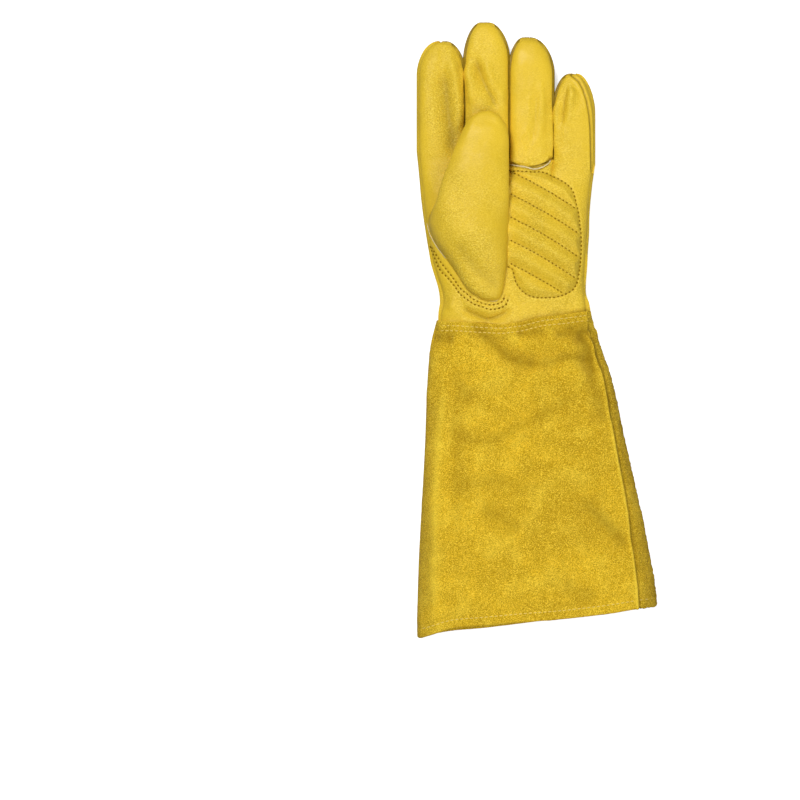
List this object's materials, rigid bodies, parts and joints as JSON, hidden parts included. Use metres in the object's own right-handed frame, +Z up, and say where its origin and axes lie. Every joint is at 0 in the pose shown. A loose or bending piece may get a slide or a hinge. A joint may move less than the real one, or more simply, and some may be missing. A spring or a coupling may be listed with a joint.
{
  "type": "rose pruning gauntlet, one left-hand glove",
  "caption": "Long leather gardening gauntlet lying palm up: smooth leather hand with a bag-like thumb, and a flared suede cuff that guards the forearm.",
  "frame": {"origin": "middle of the glove's bounding box on the surface it lies on", "axes": "+Y from the cuff's hem to the fingertips, +X from the index finger to the little finger, +Z up out of the palm"},
  "size_m": [0.1674, 0.431, 0.0393],
  "materials": {
    "leather": "bright yellow smooth grain leather, softly glossy, with fine pebble grain and soft creases",
    "suede": "mustard yellow split suede, matt and mottled, with a short nap and fuzzy cut edges"
  },
  "bodies": {
    "root": {"palm_panel": "leather", "middle_finger_front": "leather", "ring_finger_front": "leather", "back_panel": "leather", "index_back": "leather", "fourchette_index_middle": "leather", "fourchette_middle_ring": "leather", "fourchette_ring_little": "leather", "thumb_outer": "leather", "thumb_inner": "leather", "cuff": "suede", "cuff_gore": "suede"}
  },
  "joints": []
}
